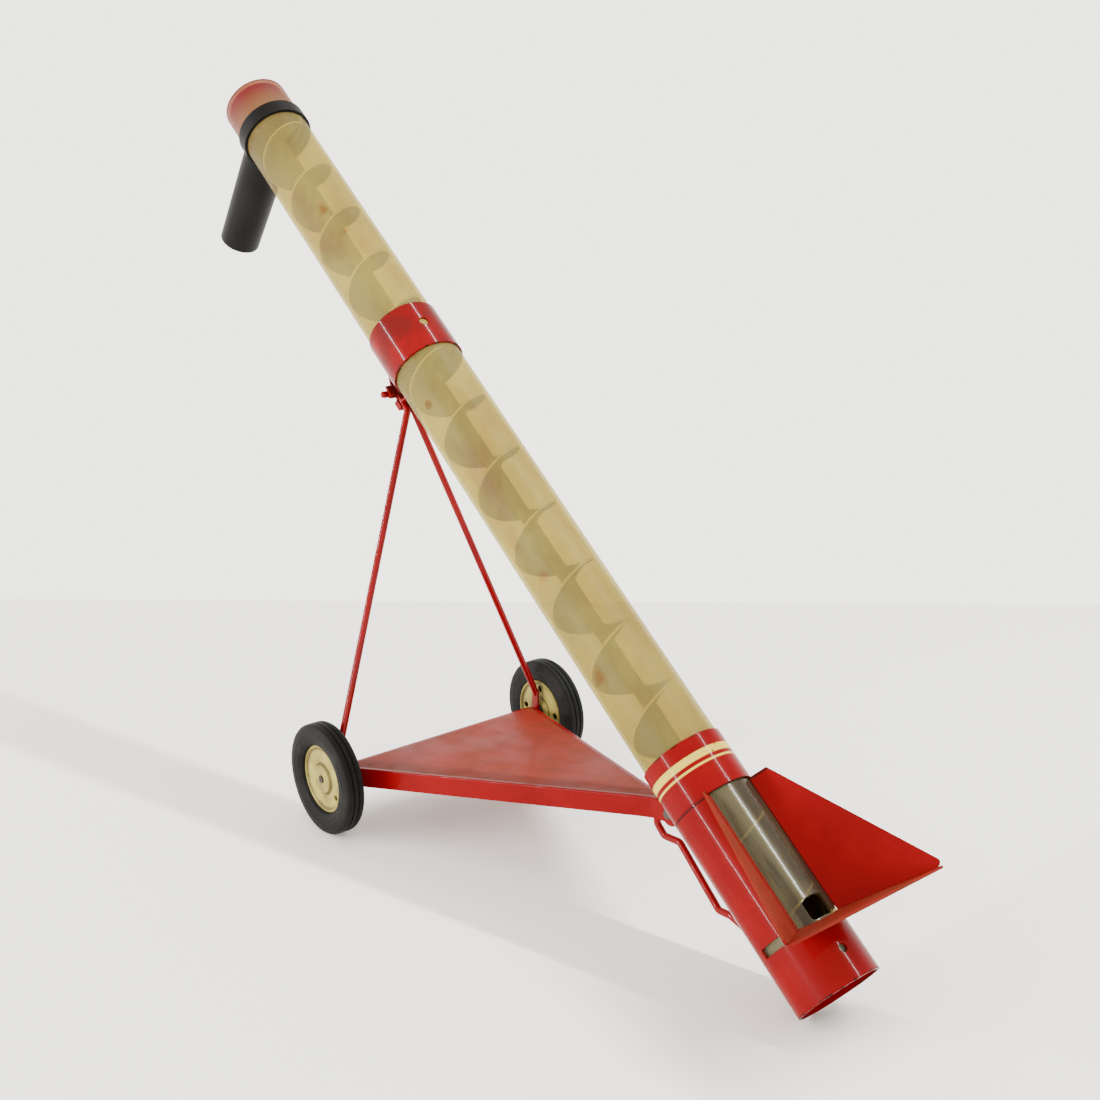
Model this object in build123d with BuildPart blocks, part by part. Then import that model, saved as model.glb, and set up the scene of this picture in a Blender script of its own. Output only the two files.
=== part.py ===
from build123d import *
import os
from math import atan2, cos, radians, sin, tan

os.makedirs("parts", exist_ok=True)

# A hand-drawn grain auger in toy size.  An inclined clear tube holds a long screw.  A pressed-steel
# intake hopper wraps its low end, a moulded spout hangs from its high end.  A two-wheeled sheet
# platform carries it on a rivet, and a folding wire strut props it up from the axle.
#
# Stations "s" run along the tube, down the slope, from the point over the axle.
# Heights "n" are measured square to the tube, upward.  "y" is across the machine.

# ---- driving dimensions, mm ----
TUBE_OD = 38.1            # inch-and-a-half acetate tube
TUBE_WALL = 1.6
TUBE_SLOPE = 37.5         # degrees above level
TUBE_TOP = 230.0          # top rim, stations above the axle
BOOT_END = 363.7          # open end of the boot, stations below the axle
SHEET = 1.15              # pressed steel of collars and hopper
PAN_SHEET = 0.9           # pressed steel of the platform

MID_COLLAR = (-38.0, -8.2)      # stations of the strut collar
LOW_COLLAR = (241.0, 267.2)     # stations of the hinge collar
SLOT = (333.0, 337.2)           # relief slot between hopper barrel and end ring
SLOT_END_ANGLE = 102.0          # how far round the slot runs
HOPPER_ANGLE = 42.0             # half angle of the hopper window over the tube
FLARE = 40.0                    # wings above level across the machine
WING_HEIGHT = (8.8, 49.2)       # width of a wing at its upper and lower end
FRONT_LEAN = 15.0               # front plate leans down the tube
INTAKE = (325.5, 335.4)         # intake opening cut in the tube
INTAKE_ANGLE = 18.4

PITCH = 36.9              # one turn of the screw
CREST = -7.9              # station where the flight crosses the top line
FLIGHT_AIR = 0.55         # between the flight and the tube wall
FLIGHT_THICK = 1.2
SHAFT_R = 3.2
FLIGHT_SPAN = (-196.0, 345.0)

SPOUT_S = -205.5          # station of the spout axis
SPOUT_RING = (-207.6, -199.0)
SPOUT_LENGTH = 82.0       # from the tube axis to the spout mouth
SPOUT_R = (13.1, 12.0)    # outside, at the tube and at the mouth
SPOUT_WALL = 1.5
SPOUT_RING_WALL = 1.7

WHEEL_R = 30.36
HALF_TRACK = 75.7         # middle of the tread
RIM_R = 18.46
HUB_SHEET = 0.9
AXLE_R = 1.75
AXLE_HEAD_R = 2.2

PAN_HALF = 67.0           # half width over the flanges at the axle
PAN_NECK = (19.4847, 6.1)  # where the flanges close in: distance short of the hinge, half width
PIVOT_DEPTH = 5.9248      # hinge rivet below the platform top
PAN_TOP = 34.0            # height of the platform top over the axle
PAN_DEPTH = 10.0          # flange depth
PAN_REAR = 3.2            # rear edge behind the axle
PAN_CORNER = 4.0
EAR_HALF = 4.0            # half width over the hinge ears
EAR_R = 5.0

PIVOT_S = 256.5           # hinge rivet station
PIVOT_DROP = 6.05         # hinge rivet below the collar
RIVET_R = 1.6
RIVET_HEAD_R = 2.75
LUG_R = 6.3

TOW_WIRE = 3.5            # tow loop wire diameter
STRUT_WIRE = 3.8          # strut wire diameter
FOOT_TOP = 43.0           # height of the top of the flattened strut feet
FOOT_THICK = 1.3
APEX_S = -7.8             # strut bends parallel to the tube here
BAR_S = -21.0             # cross bar of the strut
BAR_END = 12.0            # free end of the cross bar, across the machine
STRUT_DROP = 10.85        # strut top run below the collar surface

# ---- fits ----
RUN_FIT = 0.05            # radial clearance of turning pins and bores
SLIDE_FIT = 0.06          # spout ring on the tube
SEAT_FIT = 0.05           # collars and plugs seated on the tube
CLEAR = 0.3               # air between neighbours that move past each other

# ---- what follows from them ----
tube_r = TUBE_OD / 2
bore_r = tube_r - TUBE_WALL
flight_r = bore_r - FLIGHT_AIR
collar_in = tube_r + SEAT_FIT
collar_r = collar_in + SHEET
slope_cos = cos(radians(TUBE_SLOPE))
slope_sin = sin(radians(TUBE_SLOPE))
axis_height = BOOT_END * slope_sin + collar_r * slope_cos
spout_ring_r = tube_r + SLIDE_FIT + SPOUT_RING_WALL

root_r = (collar_in + collar_r) / 2
root_n = root_r * cos(radians(HOPPER_ANGLE))
root_y = root_r * sin(radians(HOPPER_ANGLE))
flare_cos = cos(radians(FLARE))
flare_sin = sin(radians(FLARE))
lean_cos = cos(radians(FRONT_LEAN))
lean_sin = sin(radians(FRONT_LEAN))
front_s = SLOT[0] + 2.0
plate_height = WING_HEIGHT[1] * flare_sin / lean_cos


def reach(s, n):
    """Horizontal distance from the axle."""
    return s * slope_cos + n * slope_sin


# the spout mouth and the hopper's low edge set the overall length, and the origin is midway
rear_reach = reach(SPOUT_S - SPOUT_R[1], -SPOUT_LENGTH)
plate_top_s = front_s + plate_height * lean_sin + SHEET * lean_cos
plate_top_n = root_n + plate_height * lean_cos - SHEET * lean_sin
front_reach = max(reach(BOOT_END, collar_r), reach(plate_top_s, plate_top_n))
axle_x = -(rear_reach + front_reach) / 2

down = Vector(slope_cos, 0, -slope_sin)
normal = Vector(slope_sin, 0, slope_cos)
across = Vector(0, 1, 0)


def at(s, n=0.0, y=0.0):
    """Point from station, height over the tube axis and distance across."""
    return Vector(axle_x + s * slope_cos + n * slope_sin, y, axis_height - s * slope_sin + n * slope_cos)


def section(s):
    """Plane square to the tube: local x is across, local y is the tube normal."""
    return Plane(origin=at(s), x_dir=(0, 1, 0), z_dir=down)


def side(y):
    """Plane along the tube: local x is the station, local y is the height."""
    return Plane(origin=at(0, 0, y), x_dir=down, z_dir=(0, -1, 0))


def below(s, n):
    """Plane under the tube, facing away from it along the minus normal."""
    return Plane(origin=at(s, n), x_dir=down, z_dir=-normal)


def finish(builder, label):
    builder.part.label = label
    export_step(builder.part, f"parts/{label}.step")


# ---- boom: the tube and what is seated on it ----

# Tube with the intake window on top and the discharge port underneath.
with BuildPart() as auger_tube:
    with BuildSketch(section(-TUBE_TOP)):
        Circle(tube_r)
        Circle(bore_r, mode=Mode.SUBTRACT)
    extrude(amount=TUBE_TOP + BOOT_END - 3)
    intake_width = 2 * tube_r * sin(radians(INTAKE_ANGLE))
    with BuildSketch(Plane(origin=at(0, 0), x_dir=down, z_dir=normal)):
        with Locations(((INTAKE[0] + INTAKE[1]) / 2, 0)):
            RectangleRounded(INTAKE[1] - INTAKE[0], intake_width, 2)
    extrude(amount=tube_r + 5, mode=Mode.SUBTRACT)
    with BuildSketch(below(0, 0)):
        with Locations((SPOUT_S + 4, 0)):
            RectangleRounded(11.5, 19, 4)
    extrude(amount=tube_r + 5, mode=Mode.SUBTRACT)
finish(auger_tube, "auger_tube")

# Moulded cup that closes the top and carries the shaft.
plug_top = -TUBE_TOP + 1.5
with BuildPart() as end_plug:
    with BuildSketch(section(plug_top)):
        Circle(bore_r - SEAT_FIT)
    extrude(amount=21)
    with BuildSketch(section(plug_top + 3)):
        Circle(bore_r - SEAT_FIT - 1.8)
        Circle(6, mode=Mode.SUBTRACT)
    extrude(amount=18, mode=Mode.SUBTRACT)
    with BuildSketch(section(plug_top)):
        Circle(SHAFT_R + RUN_FIT)
    extrude(amount=21, mode=Mode.SUBTRACT)
finish(end_plug, "end_plug")

# Spider that carries the low end of the shaft, behind the screw.
with BuildPart() as lower_bearing:
    with BuildSketch(section(FLIGHT_SPAN[1] + 4)):
        Circle(bore_r - SEAT_FIT)
        Circle(bore_r - 1.8, mode=Mode.SUBTRACT)
        with PolarLocations(bore_r / 2, 3, start_angle=30):
            Rectangle(bore_r - 2, 2.4)
        Circle(5.5)
        Circle(SHAFT_R + RUN_FIT, mode=Mode.SUBTRACT)
    extrude(amount=5)
finish(lower_bearing, "lower_bearing")


def collar_band(first, last):
    """Rolled band round the tube between two stations."""
    with BuildSketch(section(first)) as band:
        Circle(collar_r)
        Circle(collar_in, mode=Mode.SUBTRACT)
    extrude(band.sketch, amount=last - first)


def top_hole(s, angle, radius):
    """Round hole through a band, on its upper side, turned towards the near side."""
    turned = normal * cos(radians(angle)) - across * sin(radians(angle))
    with BuildSketch(Plane(origin=at(s), x_dir=down, z_dir=turned)) as hole:
        Circle(radius)
    extrude(hole.sketch, amount=collar_r + 4, mode=Mode.SUBTRACT)


with BuildPart() as mid_collar:
    collar_band(*MID_COLLAR)
    top_hole(-24.0, 6.6, 2.5)
finish(mid_collar, "mid_collar")

with BuildPart() as lower_collar:
    collar_band(*LOW_COLLAR)
finish(lower_collar, "lower_collar")

with BuildPart() as end_ring:
    collar_band(SLOT[1], BOOT_END)
    top_hole(350.4, 5.8, 2.0)
finish(end_ring, "end_ring")

# Hopper shell: a barrel open on top, its edges bent out into two flat wings.
front_lean = tan(radians(FRONT_LEAN))
wing_end = front_s + front_lean * WING_HEIGHT[1] * flare_sin
wing_root = 0.35
plate_up = normal * lean_cos + down * lean_sin
plate_plane = Plane(origin=at(front_s, root_n), x_dir=(0, 1, 0), z_dir=Vector(0, 1, 0).cross(plate_up))

with BuildPart() as hopper_shell:
    collar_band(LOW_COLLAR[1], SLOT[1])
    # window over the tube
    with BuildSketch(section(LOW_COLLAR[1])):
        with BuildLine():
            reach = 60
            left_up = (-reach * sin(radians(HOPPER_ANGLE)), reach * cos(radians(HOPPER_ANGLE)))
            right_up = (reach * sin(radians(HOPPER_ANGLE)), reach * cos(radians(HOPPER_ANGLE)))
            Polyline((0, 0), right_up, left_up, close=True)
        make_face()
    extrude(amount=SLOT[1] - LOW_COLLAR[1], mode=Mode.SUBTRACT)
    # relief slot, both sides, so that the wings could be bent up
    with BuildSketch(section(SLOT[0])):
        with BuildLine():
            reach = 90
            right_low = (reach * sin(radians(SLOT_END_ANGLE)), reach * cos(radians(SLOT_END_ANGLE)))
            right_up = (reach * sin(radians(30)), reach * cos(radians(30)))
            left_up = (-right_up[0], right_up[1])
            left_low = (-right_low[0], right_low[1])
            Polyline((0, 0), right_low, right_up, left_up, left_low, close=True)
        make_face()
    extrude(amount=SLOT[1] - SLOT[0], mode=Mode.SUBTRACT)
    for hand in (-1, 1):
        wing_dir = across * (hand * flare_cos) + normal * flare_sin
        wing_plane = Plane(origin=at(0, root_n, hand * root_y), x_dir=down, z_dir=down.cross(wing_dir))
        foot_s = front_s - front_lean * wing_root * flare_sin
        with BuildSketch(wing_plane):
            with BuildLine():
                Polyline(
                    (LOW_COLLAR[1], -wing_root),
                    (LOW_COLLAR[1], WING_HEIGHT[0]),
                    (wing_end, WING_HEIGHT[1]),
                    (foot_s, -wing_root),
                    close=True,
                )
            wing_face = make_face()
            fillet(wing_face.vertices().sort_by(Axis.Y)[-1], 2.0)
        extrude(amount=SHEET / 2, both=True)
    # no sheet may reach into the tube or past the front plate
    with BuildSketch(section(LOW_COLLAR[1])):
        Circle(collar_in)
    extrude(amount=SLOT[1] - LOW_COLLAR[1] + 10, mode=Mode.SUBTRACT)
    with BuildSketch(plate_plane):
        with Locations((0, plate_height / 2)):
            Rectangle(3 * plate_height + 60, plate_height + 6)
    extrude(amount=20, mode=Mode.SUBTRACT)
finish(hopper_shell, "hopper_shell")

# Front plate: closes the low end of the hopper between the wings, over the tube.
plate_half_low = root_y + SHEET * 0.6
plate_half_top = root_y + WING_HEIGHT[1] * flare_cos + SHEET * 0.3

with BuildPart() as hopper_front:
    with BuildSketch(plate_plane):
        with BuildLine():
            Polyline(
                (-plate_half_low, -0.4),
                (-plate_half_top, plate_height),
                (plate_half_top, plate_height),
                (plate_half_low, -0.4),
                close=True,
            )
        plate_face = make_face()
        fillet(plate_face.vertices().sort_by(Axis.Y)[-2:], 1.4)
    extrude(amount=SHEET)
    with BuildSketch(section(front_s - 10)):
        Circle(collar_in)
    extrude(amount=40, mode=Mode.SUBTRACT)
    # stand clear of the end ring below it
    with BuildSketch(section(SLOT[1] - 0.01)):
        Circle(collar_r + 0.02)
    extrude(amount=20, mode=Mode.SUBTRACT)
finish(hopper_front, "hopper_front")

# Hinge lugs: two plates hanging from the lower collar between the platform ears.
pivot_n = -(collar_r + PIVOT_DROP)
pivot = at(PIVOT_S, pivot_n)
ear_gap = EAR_HALF - PAN_SHEET
lug_out = ear_gap - 0.1
lug_thick = SHEET
with BuildPart() as hinge_lugs:
    for hand in (-1, 1):
        with BuildSketch(side(hand * (lug_out - lug_thick / 2))):
            with BuildLine():
                Polyline(
                    (PIVOT_S - LUG_R - 2.5, -collar_r + 4),
                    (PIVOT_S + LUG_R + 2.5, -collar_r + 4),
                    (PIVOT_S + LUG_R, pivot_n),
                    (PIVOT_S - LUG_R, pivot_n),
                    close=True,
                )
            make_face()
            with Locations((PIVOT_S, pivot_n)):
                Circle(LUG_R)
                Circle(RIVET_R + RUN_FIT, mode=Mode.SUBTRACT)
        extrude(amount=lug_thick / 2, both=True)
    with BuildSketch(section(LOW_COLLAR[0])):
        Circle(collar_r)
    extrude(amount=LOW_COLLAR[1] - LOW_COLLAR[0] + 20, mode=Mode.SUBTRACT)
finish(hinge_lugs, "hinge_lugs")

# Tow loop: one wire, its eye on the rivet, bent down and back up to the barrel.
eye_r = RIVET_R + RUN_FIT + TOW_WIRE / 2
tail_n = -(collar_r + TOW_WIRE / 2)
with BuildPart() as tow_loop:
    with BuildLine(side(0)) as tow_path:
        FilletPolyline(
            (PIVOT_S - eye_r, pivot_n),
            (PIVOT_S - 4.4, pivot_n - 14.7),
            (PIVOT_S + 4.2, pivot_n - 15.4),
            (PIVOT_S + 11.9, pivot_n - 8.4),
            (PIVOT_S + 47.0, pivot_n - 11.0),
            (PIVOT_S + 52.5, pivot_n - 6.0),
            (PIVOT_S + 76.0, tail_n),
            (PIVOT_S + 97.5, tail_n),
            radius=3.2,
        )
    with BuildSketch(Plane(origin=tow_path.line @ 0, z_dir=tow_path.line % 0)):
        Circle(TOW_WIRE / 2)
    sweep(path=tow_path.line)
    with BuildSketch(side(0)):
        with Locations((PIVOT_S, pivot_n)):
            Circle(eye_r + TOW_WIRE / 2)
            Circle(eye_r - TOW_WIRE / 2, mode=Mode.SUBTRACT)
    extrude(amount=min(TOW_WIRE / 2 - 0.15, lug_out - lug_thick - 0.1), both=True)
finish(tow_loop, "tow_loop")

# Strut saddle: bent strap under the strut collar that rests on the cross bar of the strut.
run_n = -(collar_r + STRUT_DROP)
saddle_n = run_n + STRUT_WIRE / 2 + CLEAR
strap = 1.3
lip_s = BAR_S + STRUT_WIRE / 2 + CLEAR
with BuildPart() as strut_saddle:
    with BuildSketch(side(0)):
        with BuildLine():
            Polyline(
                (MID_COLLAR[0] + 2.0, -collar_r + 3),
                (MID_COLLAR[0] + 2.0, -collar_r - 1.2),
                (BAR_S - 4.5, saddle_n),
                (MID_COLLAR[1] - 4.0, saddle_n),
                (MID_COLLAR[1] - 0.8, -collar_r - 1.2),
                (MID_COLLAR[1] - 0.8, -collar_r + 3),
                (MID_COLLAR[1] - 2.1, -collar_r + 3),
                (MID_COLLAR[1] - 2.1, -collar_r - 1.6),
                (MID_COLLAR[1] - 4.8, saddle_n + strap),
                (BAR_S - 4.0, saddle_n + strap),
                (MID_COLLAR[0] + 3.4, -collar_r - 1.8),
                (MID_COLLAR[0] + 3.4, -collar_r + 3),
                close=True,
            )
        make_face()
    extrude(amount=4.6, both=True)
    # lip that keeps the bar from sliding down the tube, beside the strut's top run
    with BuildSketch(Plane(origin=at(0, 0, -4.6), x_dir=down, z_dir=(0, -1, 0))):
        with BuildLine():
            Polyline(
                (BAR_S - 3.0, saddle_n),
                (lip_s, saddle_n),
                (lip_s, run_n + 0.2),
                (lip_s + strap, run_n + 0.2),
                (lip_s + strap, saddle_n + strap),
                (BAR_S - 3.0, saddle_n + strap),
                close=True,
            )
        make_face()
    extrude(amount=4.0)
    with BuildSketch(section(MID_COLLAR[0])):
        Circle(collar_r)
    extrude(amount=MID_COLLAR[1] - MID_COLLAR[0], mode=Mode.SUBTRACT)
finish(strut_saddle, "strut_saddle")

# ---- auger screw ----
with BuildPart() as auger_shaft:
    with BuildSketch(section(plug_top - 1.0)):
        Circle(SHAFT_R)
    extrude(amount=FLIGHT_SPAN[1] + 11 - plug_top + 1.0)
    chamfer(auger_shaft.part.edges().filter_by(GeomType.CIRCLE), 0.5)
finish(auger_shaft, "auger_shaft")

# One ribbon wound round the shaft.
helix_r = (SHAFT_R + flight_r) / 2
flight_length = FLIGHT_SPAN[1] - FLIGHT_SPAN[0]
start_turn = 360 * (FLIGHT_SPAN[0] - CREST) / PITCH
start_dir = normal * cos(radians(start_turn)) - across * sin(radians(start_turn))
flight_plane = Plane(origin=at(FLIGHT_SPAN[0]), x_dir=start_dir, z_dir=down)
with BuildLine() as coil:
    Helix(pitch=PITCH, height=flight_length, radius=helix_r)
flight_path = flight_plane.from_local_coords(coil.line)
with BuildPart() as auger_flight:
    with BuildSketch(Plane(origin=flight_path @ 0, x_dir=start_dir, z_dir=flight_path % 0)):
        Rectangle(flight_r - SHAFT_R - 2 * SEAT_FIT, FLIGHT_THICK)
    sweep(path=flight_path, is_frenet=True)
finish(auger_flight, "auger_flight")

# ---- discharge spout, one moulding ----
with BuildPart() as discharge_spout:
    with BuildSketch(section(SPOUT_RING[0])):
        Circle(spout_ring_r)
    extrude(amount=SPOUT_RING[1] - SPOUT_RING[0])
    with BuildSketch(below(SPOUT_S, -8)):
        Circle(SPOUT_R[0])
    with BuildSketch(below(SPOUT_S, -SPOUT_LENGTH)):
        Circle(SPOUT_R[1])
    loft()
    with BuildSketch(below(SPOUT_S, -8)):
        Circle(SPOUT_R[0] - SPOUT_WALL)
    with BuildSketch(below(SPOUT_S, -SPOUT_LENGTH)):
        Circle(SPOUT_R[1] - SPOUT_WALL)
    loft(mode=Mode.SUBTRACT)
    with BuildSketch(section(SPOUT_S - 25)):
        Circle(tube_r + SLIDE_FIT)
    extrude(amount=50, mode=Mode.SUBTRACT)
finish(discharge_spout, "discharge_spout")

# ---- chassis ----
hub_face = 2.97           # outer hub lip, outboard of the tread middle
inner_face = 5.37         # inner hub lip, inboard of the tread middle
boss_face = 3.35
axle_end = HALF_TRACK + boss_face

with BuildPart() as axle:
    with BuildSketch(Plane(origin=(axle_x, -axle_end - 0.1, WHEEL_R), x_dir=(1, 0, 0), z_dir=(0, 1, 0))):
        Circle(AXLE_R)
    extrude(amount=2 * axle_end + 0.2)
    for hand in (-1, 1):
        head_plane = Plane(origin=(axle_x, hand * (axle_end + 0.1), WHEEL_R), x_dir=(1, 0, 0), z_dir=(0, hand, 0))
        with BuildSketch(head_plane):
            Circle(AXLE_HEAD_R)
        extrude(amount=0.7, taper=20)
finish(axle, "axle")

with BuildPart() as axle_washers:
    for hand in (-1, 1):
        washer_y = HALF_TRACK - inner_face - 0.1
        washer_plane = Plane(origin=(axle_x, hand * washer_y, WHEEL_R), x_dir=(1, 0, 0), z_dir=(0, -hand, 0))
        with BuildSketch(washer_plane):
            Circle(4.2)
            Circle(AXLE_R + RUN_FIT, mode=Mode.SUBTRACT)
        extrude(amount=HALF_TRACK - inner_face - PAN_HALF - FOOT_THICK - 0.5)
finish(axle_washers, "axle_washers")

# Platform: triangular pressed tray, flanges turned down, ears at the hinge.
pivot_run = pivot.X - axle_x
pan_slope = atan2(pivot.Z + PIVOT_DEPTH - PAN_TOP, pivot_run)
pan_cos = cos(pan_slope)
pan_sin = sin(pan_slope)
neck_run = pivot_run - PAN_NECK[0]
pan_plane = Plane(origin=(axle_x, 0, PAN_TOP), x_dir=(pan_cos, 0, pan_sin), z_dir=(-pan_sin, 0, pan_cos))
axle_depth = (PAN_TOP - WHEEL_R) * pan_cos
axle_u = -(PAN_TOP - WHEEL_R) * pan_sin
pivot_local = pan_plane.to_local_coords(pivot)
taper_run = (PAN_HALF - PAN_NECK[1]) / neck_run
rear_u = -PAN_REAR
rear_half = PAN_HALF + PAN_REAR * taper_run
neck_u = neck_run / pan_cos
ear_u = neck_u + 7.0
plate_end = pivot_local.X - LUG_R - 2.5


def pan_outline(inset, rear, front):
    """Closed half-arrow outline of the platform, moved in from its outside by the inset."""
    with BuildLine() as outline:
        Polyline(
            (rear, -(rear_half - inset * 1.06)),
            (neck_u, -(PAN_NECK[1] - inset)),
            (ear_u, -(EAR_HALF - inset)),
            (front, -(EAR_HALF - inset)),
            (front, EAR_HALF - inset),
            (ear_u, EAR_HALF - inset),
            (neck_u, PAN_NECK[1] - inset),
            (rear, rear_half - inset * 1.06),
            close=True,
        )
    return make_face(outline.line.edges())


def pan_side(y):
    """Plane along the platform, square to its top, facing the near side."""
    return Plane(origin=(axle_x, y, PAN_TOP), x_dir=(pan_cos, 0, pan_sin), z_dir=(0, -1, 0))


with BuildPart() as platform_pan:
    with BuildSketch(pan_plane) as pan_outer:
        outer_face = pan_outline(0, rear_u, pivot_local.X + EAR_R)
        fillet(outer_face.vertices().sort_by(Axis.X)[:2], PAN_CORNER)
    extrude(amount=-PAN_DEPTH)
    top_edges = platform_pan.part.faces().sort_by(Axis(pan_plane.origin, pan_plane.z_dir))[-1].edges()
    fillet(top_edges, 0.85)
    # hollow underside
    with BuildSketch(pan_plane.offset(-PAN_SHEET)):
        inner_outline = pan_outline(PAN_SHEET, rear_u + PAN_SHEET, pivot_local.X + EAR_R + 5)
        fillet(inner_outline.vertices().sort_by(Axis.X)[:2], PAN_CORNER - PAN_SHEET)
    extrude(amount=-PAN_DEPTH, mode=Mode.SUBTRACT)
    # rear hem: shallow, so the tray stays open behind the axle
    with BuildSketch(pan_plane.offset(-2.4)):
        with Locations((rear_u, 0)):
            Rectangle(4.4, 2 * PAN_HALF - 16)
    extrude(amount=-PAN_DEPTH, mode=Mode.SUBTRACT)
    # room for the hinge lugs between the ears
    with BuildSketch(pan_plane.offset(1)):
        with Locations(((plate_end + pivot_local.X + EAR_R + 5) / 2, 0)):
            Rectangle(pivot_local.X + EAR_R + 5 - plate_end, 2 * ear_gap)
    extrude(amount=-PAN_DEPTH - 2, mode=Mode.SUBTRACT)
    # round the ears off about the rivet
    with BuildSketch(pan_side(0)):
        with Locations((pivot_local.X + EAR_R, pivot_local.Z)):
            Rectangle(2 * EAR_R, 4 * EAR_R)
        with Locations((pivot_local.X, pivot_local.Z)):
            Circle(EAR_R, mode=Mode.SUBTRACT)
    extrude(amount=EAR_HALF + 2, both=True, mode=Mode.SUBTRACT)
    with BuildSketch(pan_side(0)):
        with Locations((pivot_local.X, pivot_local.Z)):
            Circle(RIVET_R + RUN_FIT)
        with Locations((axle_u, -axle_depth)):
            Circle(AXLE_R + RUN_FIT)
    extrude(amount=PAN_HALF + 10, both=True, mode=Mode.SUBTRACT)
finish(platform_pan, "platform_pan")

with BuildPart() as pivot_rivet:
    with BuildSketch(Plane(origin=pivot, x_dir=(1, 0, 0), z_dir=(0, -1, 0))):
        Circle(RIVET_R)
    extrude(amount=EAR_HALF + 0.2, both=True)
    for hand in (-1, 1):
        head_at = pivot + across * (hand * (EAR_HALF + 0.05))
        with BuildSketch(Plane(origin=head_at, x_dir=(1, 0, 0), z_dir=(0, hand, 0))):
            Circle(RIVET_HEAD_R)
        extrude(amount=1.1, taper=28)
finish(pivot_rivet, "pivot_rivet")

# ---- folding strut ----
foot_y = PAN_HALF + 0.15 + FOOT_THICK / 2
foot_half = 2.5


def strut_leg(hand, with_bar):
    """One leg: flattened foot on the axle, long rod, top run under the strut collar."""
    rod = STRUT_WIRE / 2
    top_y = rod + 0.05
    foot_plane = Plane(origin=(axle_x, hand * foot_y, WHEEL_R), x_dir=(1, 0, 0), z_dir=(0, -1, 0))
    knee = Vector(axle_x, hand * foot_y, FOOT_TOP)
    apex = at(APEX_S, run_n, hand * top_y)
    lean = (apex - knee).normalized()
    with BuildPart() as leg:
        with BuildSketch(foot_plane):
            SlotCenterPoint((0, (FOOT_TOP - WHEEL_R) / 2), (0, FOOT_TOP - WHEEL_R), 2 * foot_half)
            Circle(AXLE_R + RUN_FIT, mode=Mode.SUBTRACT)
        extrude(amount=FOOT_THICK / 2, both=True)
        with BuildLine() as path:
            if with_bar:
                FilletPolyline(
                    knee - lean * 1.5,
                    apex,
                    at(BAR_S, run_n, hand * top_y),
                    at(BAR_S, run_n, hand * (BAR_END - rod)),
                    radius=2.2,
                )
            else:
                FilletPolyline(
                    knee - lean * 1.5,
                    apex,
                    at(BAR_S - 1.0, run_n, hand * top_y),
                    radius=2.2,
                )
        with BuildSketch(Plane(origin=path.line @ 0, z_dir=path.line % 0)):
            Circle(rod)
        sweep(path=path.line)
        if with_bar:
            with Locations(at(BAR_S, run_n, hand * (BAR_END - rod))):
                Sphere(rod)
    return leg


strut_leg_near = strut_leg(-1, True)
finish(strut_leg_near, "strut_leg_near")
strut_leg_far = strut_leg(1, False)
finish(strut_leg_far, "strut_leg_far")

# Crimped keeper round the two top runs.
clip_in = STRUT_WIRE + 0.1
with BuildPart() as strut_clip:
    with BuildSketch(section(BAR_S + 5.0)):
        with BuildLine():
            low = run_n - STRUT_WIRE / 2 - 0.05
            Polyline(
                (-clip_in, run_n + 0.6),
                (-clip_in, low),
                (clip_in, low),
                (clip_in, run_n + 0.6),
                (clip_in + 0.9, run_n + 0.6),
                (clip_in + 0.9, low - 0.9),
                (-clip_in - 0.9, low - 0.9),
                (-clip_in - 0.9, run_n + 0.6),
                close=True,
            )
        make_face()
    extrude(amount=APEX_S - 3.0 - BAR_S - 5.0)
finish(strut_clip, "strut_clip")


# ---- wheels ----
def wheel_plane(hand):
    """Profile plane of a wheel: local x is the radius, local y is outboard."""
    return Plane(origin=(axle_x, hand * HALF_TRACK, WHEEL_R), x_dir=(1, 0, 0), z_dir=(0, 0, hand))


def spin(hand):
    """Turn the open sketch right round the axle."""
    revolve(axis=Axis((axle_x, hand * HALF_TRACK, WHEEL_R), (0, 1, 0)))


web_half = 1.1
disc_out = 2.1            # outer face of the outer disc


def make_tyre(hand):
    with BuildPart() as tyre:
        with BuildSketch(wheel_plane(hand)):
            with BuildLine():
                Polyline(
                    (15.5, -web_half), (18.55, -web_half), (18.55, -3.9), (19.3, -5.0), (21.5, -5.7),
                    (25.0, -6.0), (28.0, -5.6), (29.6, -4.9), (WHEEL_R - 0.15, -4.0), (WHEEL_R, -3.0),
                    (WHEEL_R, -2.0), (WHEEL_R - 0.7, -1.75), (WHEEL_R - 0.7, -1.35), (WHEEL_R, -1.1),
                    (WHEEL_R, 1.1), (WHEEL_R - 0.7, 1.35), (WHEEL_R - 0.7, 1.75), (WHEEL_R, 2.0),
                    (WHEEL_R, 3.0), (WHEEL_R - 0.15, 4.0), (29.6, 4.9), (28.0, 5.6), (25.0, 6.0),
                    (21.5, 5.5), (19.3, 4.4), (18.55, 3.2), (18.55, web_half), (15.5, web_half),
                    close=True,
                )
            make_face()
        spin(hand)
    return tyre


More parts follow.
